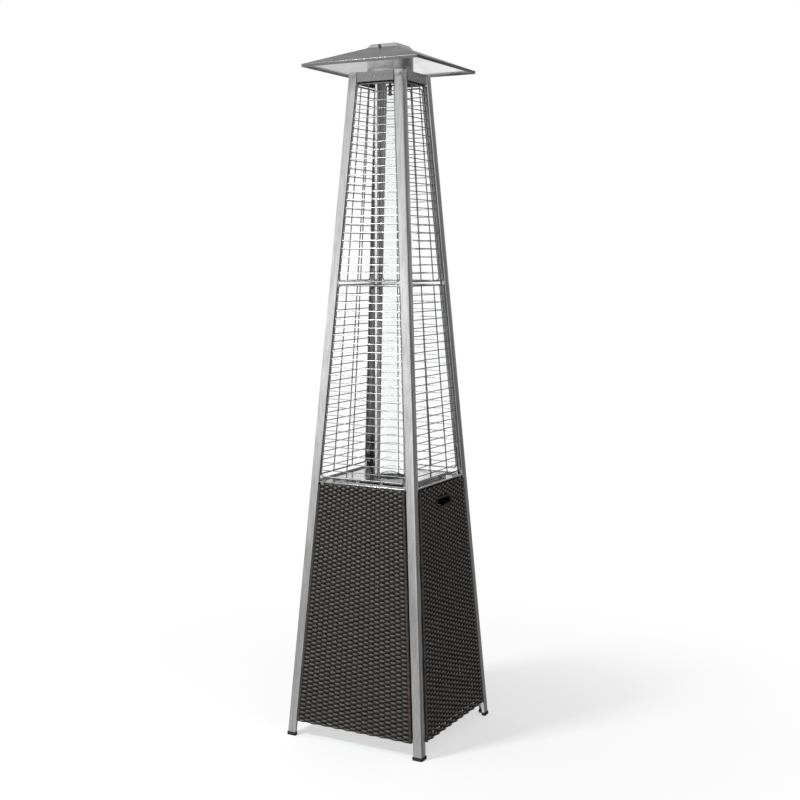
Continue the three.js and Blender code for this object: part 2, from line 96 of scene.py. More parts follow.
def piece(name, geo, mats, body="base", replaces=(), angle=34, turn=0.0, matrix=None, bevel=None):
    v = np.concatenate(geo.v)
    if matrix is not None:
        v = v @ np.array(matrix)[:3, :3].T + np.array(matrix)[:3, 3]
    if turn:
        v = rotz(v, turn)
    me = bpy.data.meshes.new(name)
    me.from_pydata((v * MM).tolist(), [], geo.f)
    for m in mats if isinstance(mats, (list, tuple)) else [mats]:
        me.materials.append(m)
    me.polygons.foreach_set("material_index", geo.m)
    me.polygons.foreach_set("use_smooth", [True] * len(me.polygons))
    me.set_sharp_from_angle(angle=math.radians(angle))
    # stores the weave's painted-light mask (crest highlight, valley shade) as the 'wear' attribute
    if geo.wear:
        me.attributes.new("wear", "FLOAT", "POINT").data.foreach_set("value", np.concatenate(geo.wear).astype(np.float32))
    me.update()
    o = bpy.data.objects.new(name, me)
    bpy.context.scene.collection.objects.link(o)
    if bevel:
        add_bevel(o, *bevel)
    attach(o, body)
    if replaces:
        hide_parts(*([replaces] if isinstance(replaces, str) else replaces))
    return o


def add_bevel(o, width, segments=2, angle=38):
    b = o.modifiers.new("edge", "BEVEL")
    b.width, b.segments, b.limit_method, b.angle_limit = width * MM, segments, "ANGLE", math.radians(angle)
    b.harden_normals = True
    b.use_clamp_overlap = True
    return b


def cad(name, mat, slot=None, bevel=None):
    """A CAD node that stays, with its own finish."""
    o = NODES[name]
    o.data.materials.clear()
    o.data.materials.append(mat)
    if bevel:
        add_bevel(o, *bevel)
    return o


def arcp(cx, cy, r, a0, a1, n):
    return [(cx + r * math.cos(a), cy + r * math.sin(a)) for a in np.linspace(a0, a1, n + 1)]


def loft(geo, rings, mi=0, caps=True, wrap=False, closed=True):
    rings = np.asarray(rings, float)
    m, n = rings.shape[:2]
    f = []
    for i in range(m if wrap else m - 1):
        k = (i + 1) % m
        f += [(i * n + j, i * n + (j + 1) % n, k * n + (j + 1) % n, k * n + j) for j in range(n)]
    if caps and not wrap:
        f += [tuple(range(n - 1, -1, -1)), tuple((m - 1) * n + j for j in range(n))]
    return geo.add(rings.reshape(-1, 3), f, mi, closed)


def tube(geo, path, r, n=10, closed=False, mi=0):
    P = np.asarray(path, float)
    m = len(P)
    T = (np.roll(P, -1, 0) - np.roll(P, 1, 0)) if closed else np.gradient(P, axis=0)
    T /= np.linalg.norm(T, axis=1)[:, None]
    up = np.array((0.0, 0.0, 1.0))
    if abs(T[0] @ up) > 0.9:
        up = np.array((0.0, 1.0, 0.0)) if abs(T[0][1]) < 0.7 else np.array((1.0, 0.0, 0.0))
    N = [up - (up @ T[0]) * T[0]]
    N[0] /= np.linalg.norm(N[0])
    for i in range(1, m):
        q = N[-1] - (N[-1] @ T[i]) * T[i]
        N.append(q / np.linalg.norm(q))
    N = np.array(N)
    B = np.cross(T, N)
    a = np.arange(n) * 2 * PI / n
    rr = np.broadcast_to(np.asarray(r, float), (m,))
    rings = P[:, None] + rr[:, None, None] * (np.cos(a)[None, :, None] * N[:, None] + np.sin(a)[None, :, None] * B[:, None])
    return loft(geo, rings, mi, wrap=closed)


def lathe(geo, prof, n=64, mi=0, closed=True, mod=None):
    """A profile in (radius, height) turned round +Z; it closes on itself or starts and ends on the axis."""
    verts, idx = [], []
    a = np.arange(n) * 2 * PI / n
    for r, z in prof:
        if r < 1e-6:
            idx.append((len(verts), True))
            verts.append((0, 0, z))
        else:
            idx.append((len(verts), False))
            rr = r if mod is None else mod(r, z, a)
            verts += list(zip(rr * np.cos(a), rr * np.sin(a), np.full(n, float(z))))
    f = []
    onaxis = idx[0][1]
    pairs = list(zip(idx[:-1], idx[1:])) + ([] if onaxis else [(idx[-1], idx[0])])
    for (p, ps), (q, qs) in pairs:
        for j in range(n):
            k = (j + 1) % n
            if ps and not qs:
                f.append((p, q + j, q + k))
            elif qs and not ps:
                f.append((p + j, q, p + k))
            elif not ps:
                f.append((p + j, q + j, q + k, p + k))
    return geo.add(verts, f, mi, closed)


def fillet(pts, r, k=3, closed=True):
    """Rounds every corner of a polyline. r is one radius or one for each point."""
    pts = [np.array(p, float) for p in pts]
    n = len(pts)
    rs = [r] * n if np.isscalar(r) else list(r)
    out = []
    for i, p in enumerate(pts):
        if (not closed and i in (0, n - 1)) or rs[i] <= 0:
            out.append(tuple(p))
            continue
        a, b = pts[i - 1] - p, pts[(i + 1) % n] - p
        la, lb = np.linalg.norm(a), np.linalg.norm(b)
        a, b = a / la, b / lb
        ang = math.acos(max(-1, min(1, a @ b)))
        if ang > PI - 0.05 or ang < 0.05:
            out.append(tuple(p))
            continue
        d = min(rs[i] / math.tan(ang / 2), la * 0.45, lb * 0.45)
        rad = d * math.tan(ang / 2)
        c = p + (a + b) / np.linalg.norm(a + b) * (rad / math.sin(ang / 2))
        v0, v1 = p + a * d - c, p + b * d - c
        w = math.acos(max(-1, min(1, (v0 @ v1) / (rad * rad))))
        for t in np.linspace(0, 1, k + 1):
            q = (math.sin((1 - t) * w) * v0 + math.sin(t * w) * v1) / math.sin(w)
            out.append(tuple(c + q))
    return out


def rsq(h, r, k=4, hy=None):
    hy = h if hy is None else hy
    p = []
    for sx, sy, a in ((1, 1, 0), (-1, 1, PI / 2), (-1, -1, PI), (1, -1, 1.5 * PI)):
        p += arcp(sx * (h - r), sy * (hy - r), r, a, a + PI / 2, k)
    return p


def stadium(w, h, n=14):
    return arcp(w / 2 - h / 2, 0, h / 2, -PI / 2, PI / 2, n) + arcp(-w / 2 + h / 2, 0, h / 2, PI / 2, 1.5 * PI, n)


def plate(geo, outer, holes, c0, c1, place=lambda a, b, c: (a, b, c), mi=0):
    """A flat sheet with holes; drawn in (a, b), c is its thickness."""
    loops = [outer] + list(holes)
    pts = [p for lp in loops for p in lp]
    n = len(pts)
    tri = []
    for t in tessellate_polygon([[Vector((x, y, 0)) for x, y in lp] for lp in loops]):
        (ax, ay), (bx, by), (cx, cy) = (pts[i] for i in t)
        ar = (bx - ax) * (cy - ay) - (by - ay) * (cx - ax)
        if abs(ar) > 1e-9:
            tri.append(tuple(t) if ar > 0 else tuple(reversed(t)))
    verts = [place(x, y, c0) for x, y in pts] + [place(x, y, c1) for x, y in pts]
    f = [tuple(reversed(t)) for t in tri] + [tuple(i + n for i in t) for t in tri]
    s = 0
    for li, lp in enumerate(loops):
        m = len(lp)
        area = sum(lp[i][0] * lp[(i + 1) % m][1] - lp[(i + 1) % m][0] * lp[i][1] for i in range(m))
        fwd = (area > 0) == (li == 0)
        for i in range(m):
            a, b = s + i, s + (i + 1) % m
            f.append((a, b, b + n, a + n) if fwd else (b, a, a + n, b + n))
        s += m
    return geo.add(verts, f, mi)


def rbox(geo, lo, hi, r=1.0, k=2, mi=0):
    """A box with rounded edges: rounded rectangles stacked with a rounded top and bottom."""
    (x0, y0, z0), (x1, y1, z1) = lo, hi
    cx, cy, hx, hy = (x0 + x1) / 2, (y0 + y1) / 2, (x1 - x0) / 2, (y1 - y0) / 2
    rings = []
    for t in np.linspace(0, PI / 2, k + 1):
        ins, z = r * (1 - math.sin(t)), z0 + r * (1 - math.cos(t))
        rings.append([(cx + x, cy + y, z) for x, y in rsq(hx - ins, r * 0.999, 3, hy - ins)])
    for t in np.linspace(PI / 2, 0, k + 1):
        ins, z = r * (1 - math.sin(t)), z1 - r * (1 - math.cos(t))
        rings.append([(cx + x, cy + y, z) for x, y in rsq(hx - ins, r * 0.999, 3, hy - ins)])
    return loft(geo, rings, mi)


def basis(origin, normal, up=(0, 0, 1)):
    """Matrix whose +Z is normal, for a part drawn on its own axis (mm)."""
    n = Vector(normal).normalized()
    u = Vector(up)
    x = u.cross(n)
    if x.length < 1e-6:
        x = Vector((1, 0, 0))
    x.normalize()
    y = n.cross(x)
    m = Matrix((x, y, n)).transposed().to_4x4()
    m.translation = Vector(origin)
    return m


def put(geo, part, matrix):
    a = np.array(matrix)
    v = np.concatenate(part.v) @ a[:3, :3].T + a[:3, 3]
    return geo.add(v, part.f, part.m[0] if part.m else 0)


def screw_head(r=3.6, h=2.2, socket=True):
    g = Geo()
    prof = [(0, 0), (r, 0), (r, h * 0.35), (r * 0.86, h * 0.78), (r * 0.55, h)]
    prof += [(r * 0.42, h), (r * 0.38, h * 0.35), (0, h * 0.3)] if socket else [(0, h * 1.05)]
    lathe(g, prof, 20)
    return g


def hex_head(af=8.0, h=4.0, washer=True):
    g = Geo()
    ring = [(af / math.sqrt(3) * math.cos(a), af / math.sqrt(3) * math.sin(a)) for a in np.arange(6) * PI / 3]
    z0 = 1.0 if washer else 0.0
    if washer:
        lathe(g, [(0, 0), (af * 0.78, 0), (af * 0.78, 0.8), (af * 0.7, 1.0), (0, 1.0)], 20)
    loft(g, [[(x, y, z0) for x, y in ring], [(x, y, z0 + h * 0.8) for x, y in ring],
             [(x * 0.86, y * 0.86, z0 + h) for x, y in ring]])
    return g


# ------------------------------------------------------------------ materials
def new_mat(name):
    m = bpy.data.materials.new(name)
    m.use_nodes = True
    nt = m.node_tree
    nt.nodes.clear()
    out = nt.nodes.new("ShaderNodeOutputMaterial")
    bs = nt.nodes.new("ShaderNodeBsdfPrincipled")
    nt.links.new(bs.outputs["BSDF"], out.inputs["Surface"])
    return m, nt, bs, out


class N:
    """Short names for node building."""

    def __init__(self, nt):
        self.nt = nt

    def node(self, kind, **kw):
        n = self.nt.nodes.new(kind)
        for k, v in kw.items():
            setattr(n, k, v)
        return n

    def link(self, a, b):
        self.nt.links.new(a, b)

    def coords(self, scale=(1, 1, 1), which="Object"):
        tc = self.node("ShaderNodeTexCoord")
        mp = self.node("ShaderNodeMapping")
        mp.inputs["Scale"].default_value = scale
        self.link(tc.outputs[which], mp.inputs["Vector"])
        return mp.outputs["Vector"]

    def noise(self, vec, scale, detail=3.0, rough=0.55, dist=0.0):
        n = self.node("ShaderNodeTexNoise")
        n.inputs["Scale"].default_value = scale
        n.inputs["Detail"].default_value = detail
        n.inputs["Roughness"].default_value = rough
        n.inputs["Distortion"].default_value = dist
        self.link(vec, n.inputs["Vector"])
        return n.outputs["Fac"]

    def ramp(self, fac, stops, interp="LINEAR"):
        n = self.node("ShaderNodeValToRGB")
        n.color_ramp.interpolation = interp
        els = n.color_ramp.elements
        while len(els) < len(stops):
            els.new(0.5)
        for e, (p, c) in zip(els, stops):
            e.position = p
            e.color = (*c, 1) if len(c) == 3 else c
        self.link(fac, n.inputs["Fac"])
        return n.outputs["Color"]

    def rng(self, fac, a, b, f0=0.0, f1=1.0):
        n = self.node("ShaderNodeMapRange")
        n.inputs["From Min"].default_value = f0
        n.inputs["From Max"].default_value = f1
        n.inputs["To Min"].default_value = a
        n.inputs["To Max"].default_value = b
        self.link(fac, n.inputs["Value"])
        return n.outputs["Result"]

    def math(self, op, a, b=None, c=None):
        n = self.node("ShaderNodeMath", operation=op)
        for i, x in enumerate((a, b, c)):
            if x is None:
                continue
            if isinstance(x, (int, float)):
                n.inputs[i].default_value = x
            else:
                self.link(x, n.inputs[i])
        return n.outputs[0]

    def mix(self, fac, a, b, blend="MIX"):
        n = self.node("ShaderNodeMix", data_type="RGBA", blend_type=blend)
        for s, x in (("Factor", fac), ("A", a), ("B", b)):
            sock = [i for i in n.inputs if i.name == s and i.enabled][0]
            if isinstance(x, (int, float)):
                sock.default_value = x
            elif isinstance(x, tuple):
                sock.default_value = (*x, 1) if len(x) == 3 else x
            else:
                self.link(x, sock)
        return [o for o in n.outputs if o.enabled][0]

    def bump(self, height, strength=0.2, dist=0.001, normal=None):
        n = self.node("ShaderNodeBump")
        n.inputs["Strength"].default_value = strength
        n.inputs["Distance"].default_value = dist
        self.link(height, n.inputs["Height"])
        if normal is not None:
            self.link(normal, n.inputs["Normal"])
        return n.outputs["Normal"]


def steel_mat(name, base, tint, rough, grain=(400, 400, 3), grain_str=0.12, wave=0.25, wave_scale=5.0, smudge=0.06,
              wear=0.10, metallic=1.0, inside=None, drawn=0.0):
    """Bright sheet or wire: drawn grain, faint waviness, smudges and rubbed patches; with inside set, painted shade
    (near black) on everything under the burner cover's top.
    """
    m, nt, bs, out = new_mat(name)
    k = N(nt)
    bs.inputs["Metallic"].default_value = metallic
    g = k.noise(k.coords(grain), 1.0, 2.0, 0.6)
    s = k.noise(k.coords((1, 1, 0.45)), 14.0, 5.0, 0.62, 0.4)
    fine = k.noise(k.coords((1, 1, 1)), 160.0, 2.0, 0.5)
    col = k.mix(k.rng(s, 0.0, 1.0, 0.32, 0.72), base, tint)
    col = k.mix(k.rng(g, 0.0, smudge, 0.35, 0.7), col, (0.30, 0.29, 0.27))
    if drawn:
        line = k.noise(k.coords((150, 150, 0.9)), 1.0, 3.0, 0.65)
        col = k.mix(k.rng(line, 0.0, drawn, 0.42, 0.66), col, (0.20, 0.20, 0.205))
    # painted shade: within the half-width given by inside and below the cover's top, the colour goes near black,
    # standing in for the shade under the burner cover
    if inside:
        sep = k.node("ShaderNodeSeparateXYZ")
        k.link(k.node("ShaderNodeTexCoord").outputs["Object"], sep.inputs[0])
        shaded_inside_mask = k.math("MAXIMUM", k.math("ABSOLUTE", sep.outputs["X"]), k.math("ABSOLUTE", sep.outputs["Y"]))
        shaded_inside_mask = k.math("MULTIPLY", k.math("LESS_THAN", shaded_inside_mask, inside), k.math("LESS_THAN", sep.outputs["Z"], 0.8607))
        col = k.mix(shaded_inside_mask, col, (0.035, 0.032, 0.030))
    k.link(col, bs.inputs["Base Color"])
    r = k.math("ADD", k.rng(s, rough - wear * 0.5, rough + wear, 0.3, 0.75), k.rng(g, -0.02, 0.05, 0.3, 0.7))
    r = k.math("ADD", r, k.rng(fine, -0.015, 0.02, 0.3, 0.7))
    k.link(k.math("MAXIMUM", r, 0.045), bs.inputs["Roughness"])
    w = k.noise(k.coords((1, 1, 0.07)), wave_scale, 2.0, 0.5)
    n1 = k.bump(w, wave, 0.002)
    k.link(k.bump(g, grain_str, 0.0002, n1), bs.inputs["Normal"])
    return m


def weave_mat(name, tone=1.0, paint_crest_light=False):
    """Half-round extruded strands: dark brown to charcoal, drawn streaks along each strand, a pale painted highlight
    on the upper front of each crest and painted shade in the valleys.
    """
    m, nt, bs, out = new_mat(name)
    k = N(nt)
    pos = k.node("ShaderNodeTexCoord").outputs["Object"]
    sep = k.node("ShaderNodeSeparateXYZ")
    k.link(pos, sep.inputs[0])
    row = k.math("FLOOR", k.math("MULTIPLY", k.math("SUBTRACT", sep.outputs["Z"], 0.052), 1 / 0.00716))
    wn = k.node("ShaderNodeTexWhiteNoise", noise_dimensions="1D")
    k.link(row, wn.inputs["W"])
    patch = k.noise(k.coords((1, 1, 1.3)), 3.4, 3.0, 0.55, 0.3)
    seg = k.noise(k.coords((22, 22, 140)), 1.0, 1.0, 0.5)
    streak = k.noise(k.coords((60, 60, 2600)), 1.0, 3.0, 0.6)
    dark = (0.0050 * tone, 0.0044 * tone, 0.0042 * tone)
    brown = (0.030 * tone, 0.0165 * tone, 0.0110 * tone)
    grey = (0.0175 * tone, 0.0165 * tone, 0.0160 * tone)
    col = k.mix(k.rng(patch, 0.0, 1.0, 0.40, 0.64), grey, brown)
    col = k.mix(k.rng(seg, 0.0, 0.85, 0.34, 0.62), col, dark)
    col = k.mix(k.rng(wn.outputs["Value"], 0.0, 0.45), col, dark)
    col = k.mix(k.rng(streak, 0.0, 0.45, 0.50, 0.78), col, (0.060 * tone, 0.052 * tone, 0.046 * tone))
    # painted highlight and shade: the 'wear' mask is high on the mid and upper front of each crest, where light from
    # above falls, and low in the valleys, underside and back
    if paint_crest_light:
        crest_light = k.node("ShaderNodeAttribute", attribute_name="wear").outputs["Fac"]
        # painted shade: near black where the mask is low
        col = k.mix(k.rng(crest_light, 0.62, 0.0, 0.0, 0.45), col, (0.0022, 0.0020, 0.0019))
        # painted highlight colour for the crests
        pale = k.mix(k.rng(patch, 0.0, 1.0, 0.40, 0.64), (0.125, 0.116, 0.108), (0.112, 0.092, 0.078))
        col = k.mix(k.rng(crest_light, 0.0, 0.90, 0.45, 0.95), col, pale)
    k.link(col, bs.inputs["Base Color"])
    r = k.math("ADD", k.rng(streak, 0.24, 0.36, 0.3, 0.7), k.rng(seg, -0.04, 0.08, 0.3, 0.7))
    k.link(r, bs.inputs["Roughness"])
    bs.inputs["Specular IOR Level"].default_value = 0.36
    n1 = k.bump(streak, 0.35, 0.00020)
    k.link(n1, bs.inputs["Normal"])
    return m


def plastic_mat(name, base, rough=0.5, grain=700.0, spec=0.5, strength=0.25, dust=0.10):
    m, nt, bs, out = new_mat(name)
    k = N(nt)
    g = k.noise(k.coords((1, 1, 1)), grain, 2.0, 0.5)
    s = k.noise(k.coords((1, 1, 1)), 22.0, 4.0, 0.6)
    pale = tuple(min(1, c * 2.2 + 0.03) for c in base)
    k.link(k.mix(k.rng(s, 0.0, dust, 0.4, 0.75), base, pale), bs.inputs["Base Color"])
    k.link(k.math("ADD", k.rng(g, rough - 0.08, rough + 0.1, 0.3, 0.7), k.rng(s, -0.04, 0.08, 0.3, 0.7)), bs.inputs["Roughness"])
    bs.inputs["Specular IOR Level"].default_value = spec
    k.link(k.bump(g, strength, 0.00015), bs.inputs["Normal"])
    return m


def brass_mat(name):
    m, nt, bs, out = new_mat(name)
    k = N(nt)
    bs.inputs["Metallic"].default_value = 1.0
    s = k.noise(k.coords((1, 1, 1)), 45.0, 4.0, 0.6)
    turn = k.noise(k.coords((60, 60, 1800)), 1.0, 2.0, 0.5)
    k.link(k.mix(k.rng(s, 0.0, 1.0, 0.35, 0.7), (0.62, 0.45, 0.20), (0.36, 0.25, 0.12)), bs.inputs["Base Color"])
    k.link(k.rng(s, 0.24, 0.46, 0.3, 0.7), bs.inputs["Roughness"])
    k.link(k.bump(turn, 0.25, 0.0002), bs.inputs["Normal"])
    return m


def glass_mat(name):
    """Clear borosilicate with faint drawn streaks; light and shadow pass through it."""
    m, nt, bs, out = new_mat(name)
    k = N(nt)
    bs.inputs["Base Color"].default_value = (0.988, 0.995, 0.994, 1)
    bs.inputs["Transmission Weight"].default_value = 1.0
    bs.inputs["IOR"].default_value = 1.40
    streak = k.noise(k.coords((26, 26, 0.8)), 1.0, 3.0, 0.6)
    k.link(k.rng(streak, 0.0, 0.012, 0.35, 0.75), bs.inputs["Roughness"])
    k.link(k.bump(streak, 0.015, 0.0010), bs.inputs["Normal"])
    lp = k.node("ShaderNodeLightPath")
    tr = k.node("ShaderNodeBsdfTransparent")
    tr.inputs["Color"].default_value = (0.93, 0.96, 0.96, 1)
    mx = k.node("ShaderNodeMixShader")
    k.link(k.math("MAXIMUM", lp.outputs["Is Shadow Ray"], lp.outputs["Is Diffuse Ray"]), mx.inputs[0])
    k.link(bs.outputs["BSDF"], mx.inputs[1])
    k.link(tr.outputs["BSDF"], mx.inputs[2])
    k.link(mx.outputs[0], out.inputs["Surface"])
    return m


POLISHED = steel_mat("polished_sheet", (0.72, 0.72, 0.725), (0.58, 0.58, 0.585), 0.12, (420, 420, 4), 0.12, 0.70, 55.0, drawn=0.28)
INNER = steel_mat("mill_finish_sheet", (0.56, 0.56, 0.56), (0.44, 0.44, 0.44), 0.40, (300, 300, 4), 0.15, 0.10, 55.0)
# polished steel with painted shade inside the burner cover
SHADED_INSIDE_POLISHED = steel_mat("polished_sheet_with_painted_shade_inside", (0.78, 0.78, 0.78), (0.66, 0.66, 0.66), 0.10, (420, 420, 4), 0.12, 0.70, 55.0, inside=0.1386)
SATIN = steel_mat("brushed_sheet", (0.42, 0.42, 0.42), (0.35, 0.35, 0.35), 0.24, (6, 700, 700), 0.08, 0.10, 40.0)
ROLLED = steel_mat("rolled_drum_sheet", (0.56, 0.56, 0.56), (0.46, 0.46, 0.46), 0.20, (4, 4, 500), 0.10, 0.08, 30.0)
TRAY = steel_mat("pressed_deck_sheet", (0.60, 0.60, 0.60), (0.50, 0.50, 0.50), 0.17, (300, 300, 300), 0.10, 0.25, 40.0)
# a darker copy of the reflector steel for the outer faces: painted shade for the dim reflection on the top; slightly
# rougher, same grain
REFLECTOR_OUTSIDE_PAINTED_SHADE = steel_mat("reflector_outside_painted_shade", (0.23, 0.23, 0.23), (0.19, 0.19, 0.19), 0.27, (500, 500, 30), 0.16, 0.08, 14.0)
REFLECT = steel_mat("reflector_sheet", (0.76, 0.76, 0.76), (0.68, 0.68, 0.68), 0.20, (500, 500, 30), 0.16, 0.08, 14.0)
WIRE = steel_mat("drawn_wire", (0.26, 0.26, 0.26), (0.15, 0.15, 0.15), 0.26, (300, 300, 300), 0.14, 0.05, 30.0, wear=0.16)
GALV = steel_mat("galvanised_sheet", (0.46, 0.48, 0.49), (0.36, 0.38, 0.40), 0.42, (90, 90, 90), 0.2, 0.1, 12.0, wear=0.2)
DARK = steel_mat("heatproof_black", (0.045, 0.044, 0.043), (0.025, 0.024, 0.024), 0.46, (160, 160, 160), 0.25, 0.05, 12.0, metallic=0.35)
IRON = steel_mat("cast_iron", (0.075, 0.070, 0.066), (0.040, 0.036, 0.034), 0.58, (260, 260, 260), 0.6, 0.3, 60.0, metallic=0.8, wear=0.2)
WEAVE = weave_mat("woven_strand", 1.0, True)
BIND = weave_mat("binding_strand", 2.6)
BLACK = plastic_mat("black_grip", (0.010, 0.010, 0.010), 0.48, 800.0, 0.3, 0.10)
RUBBER = plastic_mat("foot_rubber", (0.010, 0.010, 0.010), 0.62, 500.0, 0.35, 0.4, 0.2)
FRAME_PAINT = plastic_mat("frame_paint", (0.016, 0.015, 0.015), 0.5, 400.0, 0.4, 0.2)
MARK = plastic_mat("pale_mark", (0.62, 0.62, 0.60), 0.5, 500.0, 0.4, 0.1)
BRASS = brass_mat("machined_brass")
GLASS = glass_mat("clear_glass")

# ------------------------------------------------------------------ posts, sleeves, bolts, feet
def post_line():
    rl = 2.0
    p = [(-30.25, POST_LIP)]
    p += arcp(-30.25 + rl, 0.75 + rl, rl, PI, 1.5 * PI, 4)
    p += arcp(-POST_R, POST_R, POST_R - 0.75, -PI / 2, 0, 8)
    p += arcp(-0.75 - rl, 30.25 - rl, rl, 0, PI / 2, 4)
    p += [(-POST_LIP, 30.25)]
    return np.array(p)


def sheet_ring(line, half):
    d = np.diff(line, axis=0)
    d /= np.linalg.norm(d, axis=1)[:, None]
    t = np.vstack([d[:1], d[:-1] + d[1:], d[-1:]])
    t /= np.linalg.norm(t, axis=1)[:, None]
    nrm = np.stack([t[:, 1], -t[:, 0]], 1)
    cosh = np.ones(len(line))
    cosh[1:-1] = np.clip((t[1:-1] * d[1:]).sum(1), 0.5, 1)
    off = nrm * (half / cosh)[:, None]
    return np.vstack([line + off, (line - off)[::-1]])


def corner(xy, z):
    return [(S(z) + x, -S(z) + y, z) for x, y in xy]


def post(z0, z1):
    g = Geo()
    line = post_line()
    full, thin = sheet_ring(line, 0.75), sheet_ring(line, 0.42)
    loft(g, [corner(thin, z0), corner(full, z0 + 0.45), corner(full, z1 - 0.45), corner(thin, z1)])
    n = len(full)
    g.m = [1 if i < 3 * n and i % n >= n // 2 else 0 for i in range(len(g.f))]
    return g


def sleeve():
    """Joining angle fixed inside the lower post, standing up inside the middle one."""
    g = Geo()
    d, t = 2.6, 0.7
    line = np.array([(-26.0, d), ] + arcp(-POST_R - 0.4, POST_R + 0.4, POST_R + 0.4 - d, -PI / 2, 0, 5) + [(-d, 26.0)])
    full, thin = sheet_ring(line, t), sheet_ring(line, 0.35)
    top = [corner(full, 760), corner(full, 961)]
    # rounded top corners
    for s, z in ((0.985, 964.5), (0.95, 966.8), (0.88, 968)):
        ln = line.copy()
        ln[0, 0] = -26 * s + 0.0
        ln[-1, 1] = 26 * s
        top.append(corner(sheet_ring(ln, t), z))
    loft(g, top)
    return g


def place_on_flange(geo, part, z, u, side):
    """Puts a part drawn along +Z on the inner face of a flange of the front-right corner."""
    if side == "front":
        o, nrm = (S(z) - u, -S(z) + 3.35, z), (0, 1, 0)
    else:
        o, nrm = (S(z) - 3.35, -S(z) + u, z), (-1, 0, 0)
    put(geo, part, basis(o, nrm))


for cname, turn in CORNERS.items():
    piece(f"post_lower_{cname}", post(Z_POST_0, Z_JOINT_1 - 0.8), [POLISHED, INNER], "base", f"lower_post_{cname}", turn=turn)
    piece(f"post_middle_{cname}", post(Z_JOINT_1 + 0.8, Z_JOINT_2 - 0.2), [POLISHED, INNER], "base", f"middle_post_{cname}", turn=turn)
    piece(f"post_upper_{cname}", post(Z_JOINT_2 + 0.2, Z_POST_TOP), [POLISHED, INNER], "base", f"upper_post_{cname}", turn=turn)
    piece(f"joint_sleeve_{cname}", sleeve(), POLISHED, "base", turn=turn)
    g = Geo()
    for z in (888, 936):
        for side in ("front", "right"):
            place_on_flange(g, hex_head(8.0, 4.2), z, 15.5, side)
    piece(f"sleeve_bolts_{cname}", g, DARK, "base", turn=turn)
    g = Geo()
    d = 2.6
    line = np.array([(-25.0, d), ] + arcp(-POST_R - 0.4, POST_R + 0.4, POST_R + 0.4 - d, -PI / 2, 0, 5) + [(-d, 25.0)])
    loft(g, [corner(sheet_ring(line, 0.7), z) for z in (1466, 1551)])
    piece(f"upper_joint_angle_{cname}", g, POLISHED, "base", turn=turn)
    g = Geo()
    for z in (1484, 1533):
        for side in ("front", "right"):
            place_on_flange(g, hex_head(7.0, 3.6), z, 15.0, side)
    piece(f"upper_joint_bolts_{cname}", g, DARK, "base", turn=turn)


def foot_outline(o, k=6):
    w, l = POST_W, POST_LIP
    p = [(-w - o, -o)] + arcp(-POST_R, POST_R, POST_R + o, -PI / 2, 0, k)
    p += [(o, w + o), (-l - o, w + o), (-l - o, l + o), (-w - o, l + o)]
    r = [1.6] + [0] * (k + 1) + [1.6, 1.6, 1.0, 1.6]
    return fillet(p, r, 3)


for cname, turn in CORNERS.items():
    g = Geo()
    o2, i0 = 2.0, 0.3
    rings = [corner(foot_outline(o2 - 1.0), 0.0), corner(foot_outline(o2 - 0.3), 0.35), corner(foot_outline(o2), 1.1),
             corner(foot_outline(o2), 9.8), corner(foot_outline(o2 - 0.3), 10.6), corner(foot_outline(o2 - 0.9), 11.0),
             corner(foot_outline(i0), 11.0), corner(foot_outline(i0), 3.0)]
    loft(g, rings)
    piece(f"foot_boot_{cname}", g, RUBBER, "base", f"foot_cap_{cname}", turn=turn, angle=50)

# ------------------------------------------------------------------ woven panels
NS = 19


def half_panel(z):
    return S(z) - POST_W - 2.5


def face(u, v, z):
    return (u, -S(z) + v, z)


def weave(z0, z1, cut=None, phase=0):
    g = Geo()
    rows = int(round((z1 - z0 - 1.0) / 7.16))
    pitch = (z1 - z0 - 1.0) / rows
    for i in range(rows):
        zc = z0 + 0.5 + pitch * (i + 0.5)
        W = half_panel(zc) - 8.2
        spans = [(-W, W)]
        if cut:
            c = cut(zc)
            if c:
                spans = [(-W, c[0]), (c[1], W)]
        sign = 1 if (i + phase) % 2 == 0 else -1
        wob = RNG.normal(0, 0.16, NS + 2)
        high = zc > 843
        mid_v = -2.7 if high else -2.15
        amp = (1.8 if high else 2.25) * (1 + RNG.normal(0, 0.04))
        for ua, ub in spans:
            ka, kb = (ua / W + 1) / 2 * NS, (ub / W + 1) / 2 * NS
            n = max(3, int(math.ceil((kb - ka) * 5)) + 1)
            k = np.linspace(ka, kb, n)
            w = np.cos(PI * (k - 0.5)) * sign
            d = np.tanh(1.55 * w) / math.tanh(1.55)
            u = (k / NS * 2 - 1) * W
            dz = np.interp(k, np.arange(NS + 2) - 0.5, wob) + 0.16 * np.sin(k * 1.7 + i * 2.1)
            h = 4.02 * (1 + 0.02 * d)
            tilt = 0.10 * np.sin(PI * (k - 0.5)) * sign + 0.05 * np.sin(k * 0.9 + i)
            vc = mid_v - amp * d
            if ua > -W + 1:
                vc[0] = vc[0] * 0.3 - 1.0
            sec = [(-1.0, 0.30), (-0.66, -0.50), (0.0, -0.85), (0.66, -0.50), (1.0, 0.30), (0.0, 0.42)]
            rings = np.zeros((n, 6, 3))
            for q, (sz, sv) in enumerate(sec):
                zz = zc + dz + sz * h
                vv = vc + sv + tilt * sz * 1.2
                rings[:, q, 0] = u
                rings[:, q, 1] = -(HALF_FLOOR - LEAN * zz) + vv
                rings[:, q, 2] = zz
            loft(g, rings, closed=True)
            # mask for painted light: high on the crests' mid and upper front (painted highlight), low in the valleys
            # and at the back (painted shade)
            crest = np.clip((d + 0.55) / 1.3, 0, 1) * (1 + 0.12 * np.sin(k * 2.3 + i * 1.3))
            g.wear.append((crest[:, None] * np.array((0.05, 0.28, 0.92, 0.90, 0.10, 0.0))[None]).reshape(-1))
    return g


